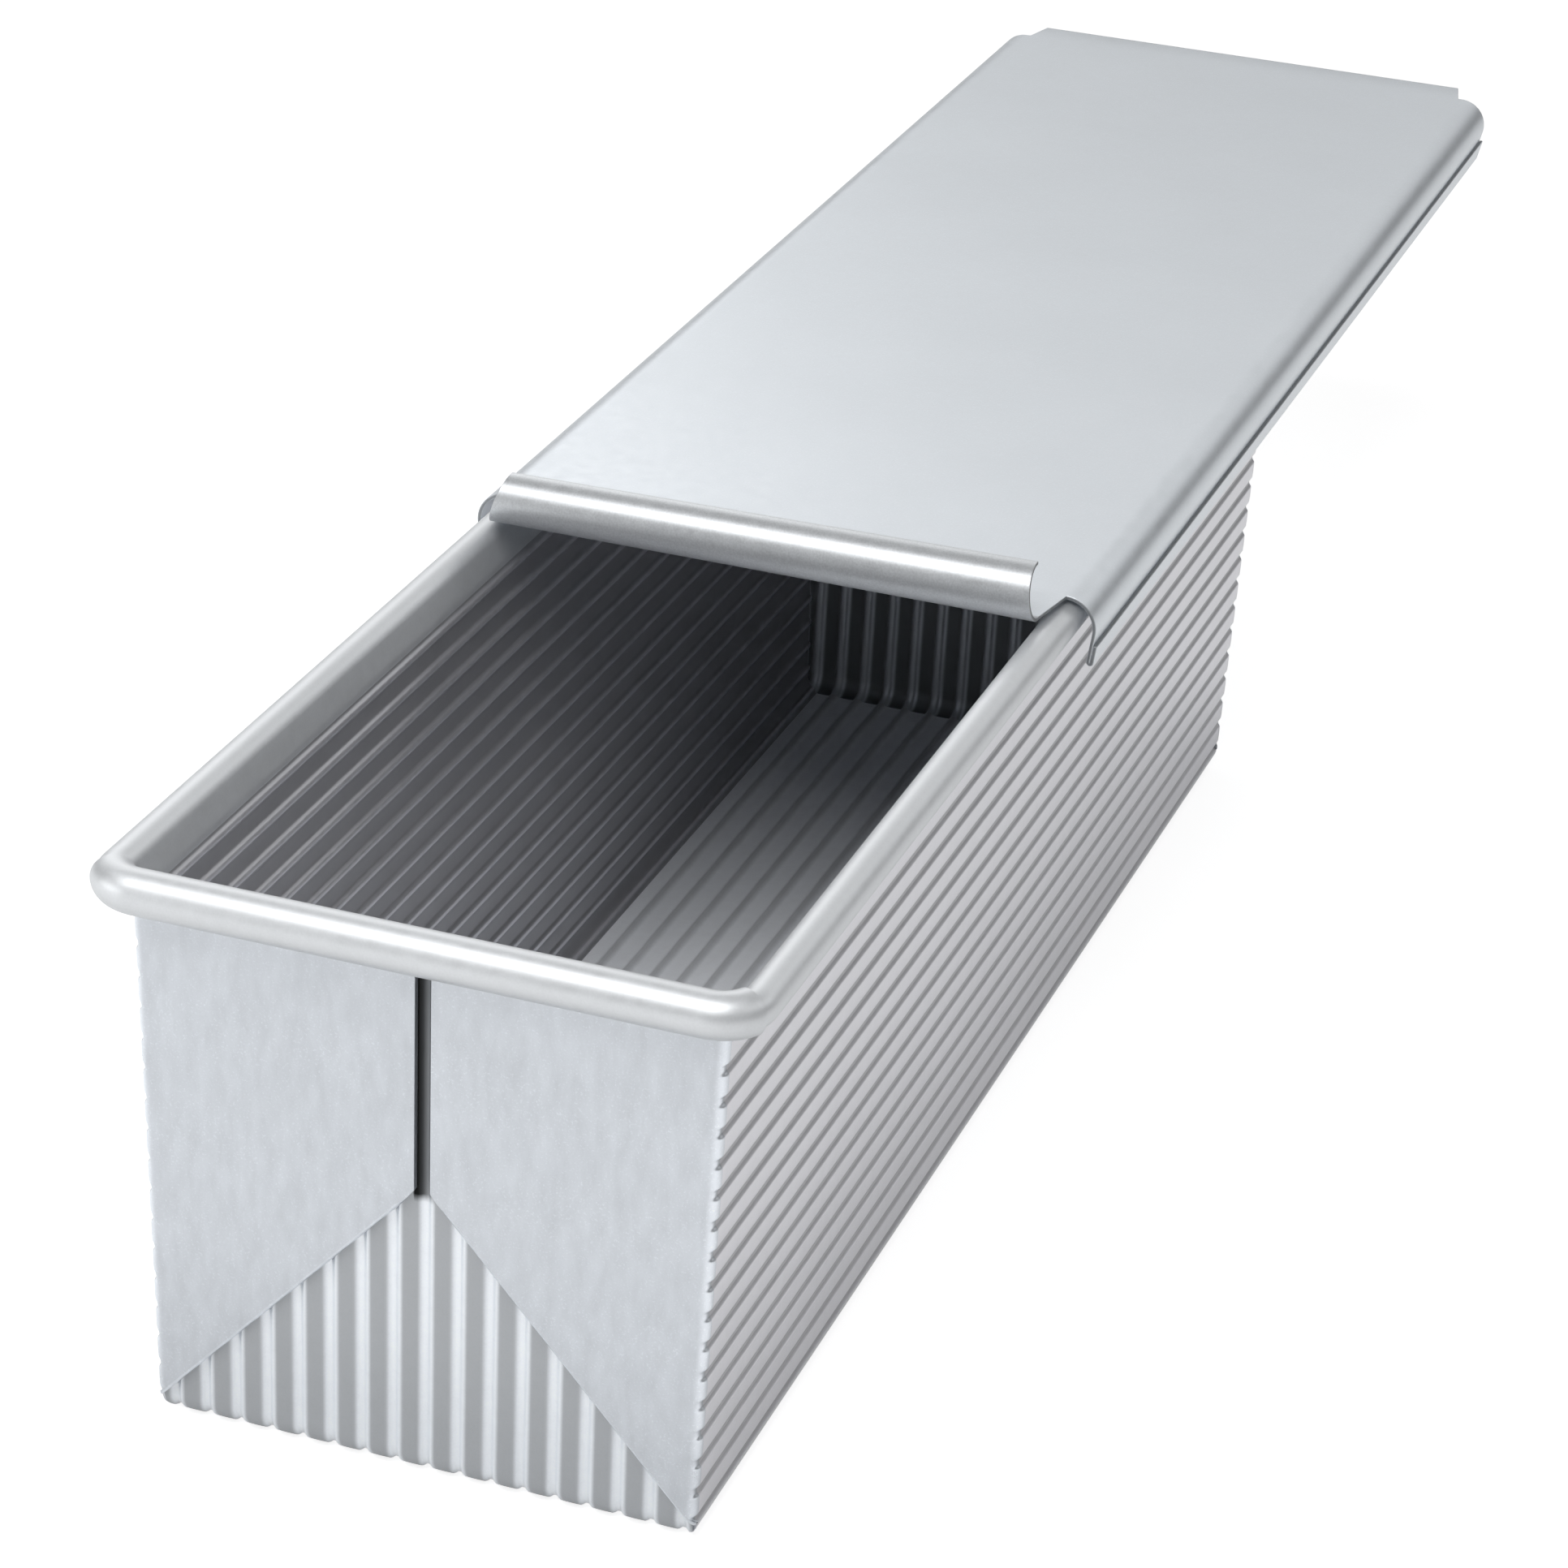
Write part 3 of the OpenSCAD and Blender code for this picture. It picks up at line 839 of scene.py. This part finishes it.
        gap = self.hairline * (1.0 - folded)
        back_end = np.maximum(fold_x - self.back_short, edge_x + self.back_least)
        back_x = np.concatenate([lip_x, lip_end + np.maximum(0.0, back_end - lip_end) * share], axis=1)
        whole = np.full_like(flat_x, 2 * size.sheet)
        back_depth = np.concatenate([2 * size.sheet - curve_in, whole], axis=1)
        rows = (z < size.wall_h - self.back_low) & (edge_x + self.back_from < fold_x)
        back = [side.place(grid_of(back_x, face_y + deep, z)[rows[:, 0]])
                for deep in (size.sheet + gap, back_depth)]
        grids = closed_sheet(*faces, painted_light=(tone, 0.0)) + closed_sheet(*back)
        make_piece(f"{word}_gusset_sheet", grids, self.flap_finish, Body.PAN,
                   (f"{word}_gusset",))


@dataclass
class RolledRim:
    """The rim: sheet rolled round the wire along the sides and doubled round the ends."""

    finish: bpy.types.Material
    wire_finish: bpy.types.Material
    sizes: PanSizes = field(default_factory=PanSizes)
    flare_r: float = 6.0
    seam_turn: float = 62.0
    tuck: float = 6.0

    def section(self, out: float, layers: int, lean: float) -> list[np.ndarray]:
        """Return the two faces of a roll's section, measured out from the wall's inner face.

        The face leaves the wall along its lean, bends out on a soft arc, runs straight and
        goes clockwise round the wire to just past its underside. The soft arc and the wire
        share one tangent line, at the angle d - asin((f - r) / l), where l and d are the
        length and direction from the soft arc's centre to the wire, f its radius and r the
        roll's.

        Args:
            out: Distance of the wire from the wall's inner face.
            layers: Sheets round the wire. At the wall it is one.
            lean: Lean of the wall in degrees.

        Returns:
            The cavity face and the wire face, as arrays of distance out and height.
        """
        wire = np.array([out, self.sizes.wire_up])
        tilt = math.radians(lean)
        soft = self.flare_r * np.array([math.cos(tilt), -math.sin(tilt)])
        gap = wire - soft
        thick = layers * self.sizes.sheet
        radius = self.sizes.roll_in_r + thick
        bend = math.asin((self.flare_r - radius) / float(np.hypot(*gap)))
        tangent = math.degrees(math.atan2(gap[1], gap[0]) - bend)
        last = -90.0 - self.sizes.roll_end
        faces = []
        for soft_cut, roll_cut in ((0.0, 0.0), (self.sizes.sheet, thick)):
            flare = arc(soft, self.flare_r - soft_cut, 180.0 - lean, tangent + 90.0, 6)
            roll = arc(wire, radius - roll_cut, tangent + 90.0, last, 56)
            faces.append(np.concatenate([flare, roll]))
        return faces

    def build(self) -> None:
        """Make the four rolls and give the wire its finish."""
        size = self.sizes
        corner = (size.wire_x - size.rim_corner_r, size.wire_y - size.rim_corner_r)
        section = self.section(size.wire_out_side, 1, size.side_lean)
        spans = self.carried(section, size.inner_x, corner, 90.0 - self.seam_turn + self.tuck, 9)
        for side, word in SIDES:
            self.roll(word, [side.place(grid_of(out, along, up)) for out, along, up in spans], "r")
        section = self.section(size.wire_out_end, 2, size.end_lean)
        spans = self.carried(section, size.inner_y, corner[::-1], self.seam_turn, 15)
        for side, word in ENDS:
            self.roll(word, [side.place(grid_of(along, -out, up)) for out, along, up in spans], "tbr")
        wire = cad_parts["rim_wire"]
        wire.data.materials.clear()
        wire.data.materials.append(self.wire_finish)

    def carried(self, section: list[np.ndarray], inner: float, corner: tuple[float, float],
                sweep: float, steps: int) -> list[tuple[np.ndarray, np.ndarray, np.ndarray]]:
        """Carry a section along an edge of the pan and part of the way round both corners.

        Args:
            section: The two faces' points.
            inner: Distance of the wall's inner face from the pan's middle.
            corner: Distances of the corners' centres from the middle, out and along.
            sweep: How far the roll follows each corner, in degrees.
            steps: Sections in each corner.

        Returns:
            For each face the distances out and along, and the heights.
        """
        turn = np.radians(np.linspace(0.0, sweep, steps))
        heading = np.concatenate([-turn[::-1], turn])[:, None]
        centre = np.repeat([-corner[1], corner[1]], steps)[:, None]
        spans = []
        for part in section:
            reach = inner - corner[0] + part[:, 0]
            out = corner[0] + np.cos(heading) * reach
            spans.append((out, centre + np.sin(heading) * reach, self.sizes.wall_h + part[:, 1]))
        return spans

    def roll(self, word: str, faces: list[np.ndarray], free: str) -> None:
        """Make one roll from its two faces."""
        make_piece(f"{word}_roll_sheet", closed_sheet(*faces, free=free), self.finish, Body.PAN,
                   (f"{word}_rim_roll",))


@dataclass
class SlidingLid:
    """The lid: one sheet with rounded shoulders, hemmed flanges, a pull lip and a stop tab."""

    plate_finish: bpy.types.Material
    lip_finish: bpy.types.Material
    pan: PanSizes = field(default_factory=PanSizes)
    length: float = 336.0
    opened: float = 167.0
    sheet: float = 0.7
    gap: float = 0.35
    channel_gap: float = 1.75
    shoulder_r: float = 6.2
    depth: float = 13.4
    flange_lean: float = 8.2
    hem_h: float = 4.2
    hem_gap: float = 0.06
    front_setback: float = 0.5
    back_setback: float = 4.5
    tongue_l: float = 11.2
    tongue_taper: float = 1.9
    lip_r: float = 5.3
    lip_r_spread: float = 0.3
    lip_turn: float = 186.0
    lip_taper: float = 2.2
    lip_drift: float = 1.1
    tab_l: float = 10.0
    tab_inset: float = 1.0
    tab_taper: float = 2.2
    tab_drop: float = 5.5
    tab_bend_r: float = 1.8
    flat_seam: float = 1.0

    @property
    def front(self) -> float:
        """Front end of the channels."""
        return self.opened - self.length / 2

    @property
    def back(self) -> float:
        """Back end of the channels."""
        return self.opened + self.length / 2

    @property
    def low(self) -> float:
        """Underside of the plate."""
        return self.pan.wire_z + self.pan.roll_in_r + 2 * self.pan.sheet + self.gap

    @property
    def flange_x(self) -> float:
        """Widest place of a channel."""
        roll = self.pan.roll_in_r + 2 * self.pan.sheet
        return self.pan.wire_x + roll + self.channel_gap + self.sheet

    @property
    def plate_x(self) -> float:
        """Half the width of the flat plate."""
        return self.flange_x - self.shoulder_r

    def build(self) -> None:
        """Make the plate, the channels, the lip and the tab."""
        self.plate()
        for side, word in SIDES:
            self.shoulder(side, word)
            self.flange(side, word)
            self.hem(side, word)
        self.lip()
        self.tab()

    def level_sheet(self, half_front: float, half_back: float, start: float, end: float,
                    free: str) -> list[Patch]:
        """Return a flat stretch of sheet whose half width changes evenly from start to end."""
        share = np.linspace(0.0, 1.0, 3)[:, None]
        x = (half_front + (half_back - half_front) * share) * ACROSS
        y = start + (end - start) * share
        top, under = (grid_of(x, y, self.low + up) for up in (self.sheet, 0.0))
        return closed_sheet(top, under, free=free)

    def plate(self) -> None:
        """Make the flat plate between the shoulders and the tapered tongue before it."""
        half = self.plate_x - self.flat_seam
        lip_x = self.plate_x - self.tongue_taper
        grids = self.level_sheet(half, half, self.front, self.back, "")
        grids += self.level_sheet(lip_x, self.plate_x, self.front - self.tongue_l, self.front, "lr")
        make_piece("lid_plate_sheet", grids, self.plate_finish, Body.LID, ("lid_plate",))

    def edge_piece(self, name: str, side: Side, section: list[np.ndarray],
                   ends: tuple[Any, Any], free: str) -> None:
        """Carry a section along Y and make one piece of a channel.

        Args:
            name: The node that the piece stands for.
            side: The side that it is on.
            section: The x and z of the two faces' points.
            ends: Its front and back end, as one value or one for each point.
            free: Its raw edges, as for closed_sheet().
        """
        y = ends[0] + (ends[1] - ends[0]) * np.linspace(0.0, 1.0, 5)[:, None]
        faces = [side.place(grid_of(part[:, 0], y, part[:, 1])) for part in section]
        make_piece(f"{name}_sheet", closed_sheet(*faces, free=free), self.plate_finish, Body.LID,
                   (name,))

    def flange_frame(self) -> tuple[np.ndarray, np.ndarray, np.ndarray, float]:
        """Return the root of a flange, its down and outward directions and its length."""
        lean = math.radians(self.flange_lean)
        top = self.low + self.sheet
        centre = np.array([self.plate_x, top - self.shoulder_r])
        outward = np.array([math.cos(lean), -math.sin(lean)])
        down = np.array([-math.sin(lean), -math.cos(lean)])
        length = (self.depth - self.shoulder_r * (1 + math.sin(lean)) - self.sheet) / math.cos(lean)
        return centre + self.shoulder_r * outward, down, outward, length

    def ends(self, down: np.ndarray, length: float) -> tuple[np.ndarray, np.ndarray]:
        """Return the slanting front and back ends at distances down a flange."""
        share = np.clip(down, 0.0, None) / (length + self.sheet)
        return self.front + self.front_setback * share, self.back - self.back_setback * share

    def shoulder(self, side: Side, word: str) -> None:
        """Make a shoulder: a short flat, an arc from straight up to the flange's lean."""
        top = self.low + self.sheet
        centre = np.array([self.plate_x, top - self.shoulder_r])
        flat_x = self.plate_x - self.flat_seam
        section = []
        for cut in (0.0, self.sheet):
            bend = arc(centre, self.shoulder_r - cut, 90.0, -self.flange_lean, 28)
            section.append(np.concatenate([[[flat_x, top - cut]], bend]))
        self.edge_piece(f"lid_{word}_shoulder", side, section, (self.front, self.back), "tb")

    def flange(self, side: Side, word: str) -> None:
        """Make a flange: flat sheet down from the shoulder to the hem's fold."""
        root, down, outward, length = self.flange_frame()
        along = np.linspace(0.0, length, 4)
        outer = root + along[:, None] * down
        section = [outer, outer - self.sheet * outward]
        self.edge_piece(f"lid_{word}_flange", side, section, self.ends(along, length), "tb")

    def hem(self, side: Side, word: str) -> None:
        """Make a hem: the edge folded half round and up against the flange's outside."""
        root, down, outward, length = self.flange_frame()
        turn = np.linspace(-math.pi / 2, math.pi / 2, 11)[:, None]
        rise = np.linspace(0.0, self.hem_h - self.sheet, 3)[1:, None]
        small = self.hem_gap / 2
        centre = root + length * down + small * outward
        section = []
        for radius in (small + self.sheet, small):
            fold = centre + radius * (np.sin(turn) * outward + np.cos(turn) * down)
            leg = centre + radius * outward - rise * down
            section.append(np.concatenate([fold, leg]))
        ends = self.ends((section[0] - root) @ down, length)
        self.edge_piece(f"lid_{word}_hem", side, section, ends, "tbr")

    def lip(self) -> None:
        """Make the pull lip: the tongue's end rolled up and back through half a turn.

        A point at angle a round the roll lies forward by r sin a and up by r (1 - cos a). The
        lip narrows in proportion to its height, and as it was rolled by hand, it also drifts
        to the right in that proportion and its radius grows evenly from left to right.
        """
        turn = np.radians(np.linspace(0.0, self.lip_turn, 41))[:, None]
        height = (1 - np.cos(turn)) / 2
        root_x = self.plate_x - self.tongue_taper
        x = (root_x - self.lip_taper * height) * ACROSS + self.lip_drift * height
        whole = self.lip_r + self.lip_r_spread * ACROSS
        faces = []
        for cut in (0.0, self.sheet):
            y = self.front - self.tongue_l - (whole - cut) * np.sin(turn)
            faces.append(grid_of(x, y, self.low + whole - (whole - cut) * np.cos(turn)))
        make_piece("lid_pull_lip_sheet", closed_sheet(*faces, free="blr"), self.lip_finish,
                   Body.LID, ("lid_pull_lip",))

    def tab(self) -> None:
        """Make the stop tab: flat, then a quarter bend and a short drop."""
        top = self.low + self.sheet
        centre = np.array([self.back + self.tab_l - self.tab_bend_r, top - self.tab_bend_r])
        half_root = self.plate_x - self.tab_inset
        faces = []
        for cut in (0.0, self.sheet):
            bend = arc(centre, self.tab_bend_r - cut, 90.0, 0.0, 10)
            drop = np.array([[centre[0] + self.tab_bend_r - cut, top - self.tab_drop]])
            line = np.concatenate([[[self.back, top - cut]], bend, drop])
            share = (np.minimum(line[:, 0], self.back + self.tab_l) - self.back) / self.tab_l
            half = half_root - self.tab_taper * share
            faces.append(grid_of(half[:, None] * ACROSS, line[:, :1], line[:, 1:]))
        make_piece("lid_stop_tab_sheet", closed_sheet(*faces, free="blr"), self.plate_finish,
                   Body.LID, ("lid_stop_tab",))


# Studio


@dataclass(frozen=True)
class Lamp:
    """A soft box: where it stands, what it faces, its size and how bright it looks."""

    name: str
    place: tuple[float, float, float]
    aim: tuple[float, float, float]
    size: tuple[float, float]
    brightness: float

    def build(self) -> None:
        """Add the lamp; its power is brightness times pi times its area."""
        light = bpy.data.lights.new(self.name, "AREA")
        light.shape = "RECTANGLE"
        light.size, light.size_y = self.size
        light.energy = self.brightness * math.pi * self.size[0] * self.size[1]
        lamp = bpy.data.objects.new(self.name, light)
        facing = Vector(self.aim) - Vector(self.place)
        turned = facing.to_track_quat("-Z", "Y").to_matrix().to_4x4()
        lamp.matrix_world = Matrix.Translation(self.place) @ turned
        lamp.visible_camera = False
        bpy.context.scene.collection.objects.link(lamp)


@dataclass(frozen=True)
class Panel:
    """A far soft panel: its bearing from +X, its elevations in degrees and its brightness."""

    bearing: float
    half_width: float
    low: float
    high: float
    brightness: float
    blur: float = 4.0

    def glow(self, graph: Graph, level: Any, height: Any) -> Number:
        """Return the panel's light in a direction, faded smoothly across its edges.

        Args:
            graph: The world's graph.
            level: The direction's level part, as a unit vector.
            height: The sine of the direction's elevation.
        """
        turn = math.radians(self.bearing)
        facing = graph.vector("DOT_PRODUCT", level, (math.cos(turn), math.sin(turn), 0.0))
        blur = np.array([-self.blur, self.blur])
        sides = np.cos(np.radians(self.half_width - blur)).tolist()
        foot, head = (np.sin(np.radians(edge + blur)).tolist() for edge in (self.low, self.high))
        inside = graph.ease(facing, *sides) * graph.ease(height, *foot)
        return inside * (1.0 - graph.ease(height, *head)) * self.brightness


@dataclass
class Studio:
    """A pale floor, a dim room with soft panels, a soft box and the camera."""

    lens_mm: float = 109.06
    sensor_mm: float = 36.0
    far: float = 50.0
    camera_at: tuple[float, float, float] = (0.264774, -0.780734, 0.455956)
    azimuth: float = 18.573
    elevation: float = 25.797
    roll: float = 2.909
    floor_half: float = 4.0
    floor_grey: float = 0.5
    floor_white: float = 0.8
    floor_shine: float = 0.66
    shade_reach: float = 0.06
    shade_least: float = 0.5
    room: float = 0.05
    lamps: tuple[Lamp, ...] = (
        Lamp("key_box", (-0.1, -0.61, 1.00), (0.0, 0.06, 0.0), (0.9, 0.7), 4.8),
        Lamp("back_box", (-0.7, 0.9, 0.8), (0.0, 0.1, 0.05), (0.8, 0.8), 0.8),
    )
    panels: tuple[Panel, ...] = (
        Panel(215.0, 20.0, 2.0, 16.0, 4.0),
        Panel(90.0, 66.0, 18.0, 34.0, 1.35, blur=6.0),
        Panel(120.0, 30.0, 36.0, 50.0, 0.4),
        Panel(0.0, 30.0, 30.0, 50.0, 1.1),
    )

    def build(self) -> None:
        """Set up the view, the surround, the floor, the lamps and the camera."""
        bpy.context.scene.view_settings.view_transform = "Standard"
        self.surround()
        self.floor()
        for lamp in self.lamps:
            lamp.build()
        self.camera()

    def lift(self, graph: Graph) -> Number:
        """Return how much the floor glows to the camera and in reflections.

        The reflected glow fades towards the pan's foot, where the pan shades the floor: it
        follows the distance from the base's rectangle, which is the length of the part of
        (|x|, |y|) that lies outside it.
        """
        path = graph.node("ShaderNodeLightPath").outputs
        mirrored = Number(graph, path["Is Glossy Ray"]) + Number(graph, path["Is Transmission Ray"])
        base = (PanSizes.base_w / 2 * MM, PanSizes.base_l / 2 * MM, 0.0)
        away = graph.vector("ABSOLUTE", graph.node("ShaderNodeTexCoord").outputs["Object"])
        away = graph.vector("MAXIMUM", graph.vector("SUBTRACT", away, base), (0.0, 0.0, 0.0))
        clear = graph.ease(graph.vector("LENGTH", away), 0.0, self.shade_reach)
        open_floor = self.shade_least + (1.0 - self.shade_least) * clear
        shine = mirrored * open_floor * self.floor_shine
        return Number(graph, path["Is Camera Ray"]) * self.floor_white + shine

    def surround(self) -> None:
        """Make the world: white to the camera, else a dim room with the panels in it."""
        world = bpy.data.worlds.new("studio")
        bpy.context.scene.world = world
        world.use_nodes = True
        graph = Graph(world.node_tree)
        way = graph.node("ShaderNodeTexCoord").outputs["Generated"]
        height = graph.node("ShaderNodeSeparateXYZ", {}, {0: way}).outputs[2]
        level = graph.vector("NORMALIZE", graph.vector("MULTIPLY", way, (1.0, 1.0, 0.0)))
        glow = sum((panel.glow(graph, level, height) for panel in self.panels), self.room)
        camera = Number(graph, graph.node("ShaderNodeLightPath").outputs["Is Camera Ray"])
        back = graph.node(
            "ShaderNodeBackground",
            {},
            {"Color": (1.0, 1.0, 1.0, 1.0), "Strength": glow * (1.0 - camera) + camera},
        )
        graph.node("ShaderNodeOutputWorld", {}, {"Surface": back.outputs[0]})

    def floor(self) -> None:
        """Make the floor: pale, and lifted a little where it is seen or mirrored."""
        half = self.floor_half
        mesh = bpy.data.meshes.new("studio_floor")
        mesh.from_pydata([(-half, -half, 0), (half, -half, 0), (half, half, 0), (-half, half, 0)],
                         [], [(0, 1, 2, 3)])
        made = bpy.data.materials.new("pale_floor")
        made.use_nodes = True
        graph = Graph(made.node_tree)
        grey = (self.floor_grey,) * 3 + (1.0,)
        matte = graph.node("ShaderNodeBsdfDiffuse", {}, {"Color": grey})
        lift = graph.node("ShaderNodeEmission", {}, {"Strength": self.lift(graph)})
        both = graph.node("ShaderNodeAddShader", {}, {0: matte.outputs[0], 1: lift.outputs[0]})
        graph.node("ShaderNodeOutputMaterial", {}, {"Surface": both.outputs[0]})
        mesh.materials.append(made)
        floor = bpy.data.objects.new("studio_floor", mesh)
        bpy.context.scene.collection.objects.link(floor)

    def camera(self) -> None:
        """Place the camera by its azimuth, elevation and roll."""
        data = bpy.data.cameras.new("camera")
        data.lens = self.lens_mm
        data.sensor_fit = "HORIZONTAL"
        data.sensor_width = self.sensor_mm
        data.clip_end = self.far
        camera = bpy.data.objects.new("camera", data)
        turned = (Matrix.Rotation(math.radians(self.azimuth), 4, "Z")
                  @ Matrix.Rotation(math.radians(90.0 - self.elevation), 4, "X")
                  @ Matrix.Rotation(math.radians(self.roll), 4, "Z"))
        camera.matrix_world = Matrix.Translation(self.camera_at) @ turned
        bpy.context.scene.collection.objects.link(camera)
        bpy.context.scene.camera = camera


def main() -> None:
    """Build the studio, the pan, its rim and the lid."""
    logging.basicConfig(level=logging.INFO, format="%(message)s")
    Studio().build()
    cool = (0.745, 0.783, 0.82)
    ribbed = SteelFinish("ribbed_steel", (0.795, 0.795, 0.83), metal=0.65).material()
    end = SteelFinish("end_steel", (0.755, 0.785, 0.82), metal=0.65).material()
    # The floor's steel is a lighter, more matte copy of the pan's; its lighter tint is painted light.
    floor = SteelFinish("floor_steel_painted_light", (0.92, 0.94, 0.97), metal=0.15, roughness=0.45).material()
    # The flaps' darker tint is painted shade; their streaky mottle is the steel's own.
    flap = SteelFinish("flap_steel_painted_shade", (0.63, 0.66, 0.70), metal=0.75, mottle=0.3,
                       stretch=(1.0, 1.0, 0.35), speck=0.1).material()
    rim = SteelFinish("rim_steel", roughness=0.46, mottle=0.1, grain_height=0.004).material()
    wire = SteelFinish("wire_steel", tint=(0.55, 0.56, 0.58), roughness=0.4).material()
    lid = SteelFinish("lid_steel", cool, metal=0.7, mottle=0.06, speck=0.04).material()
    lip = SteelFinish("lip_steel", (0.65, 0.67, 0.69), roughness=0.38, grain=0.4,
                      grain_height=0.01).material()
    PanBody(ribbed, flap, floor, end).build()
    RolledRim(rim, wire).build()
    SlidingLid(lid, lip).build()


if __name__ == "__main__":
    main()
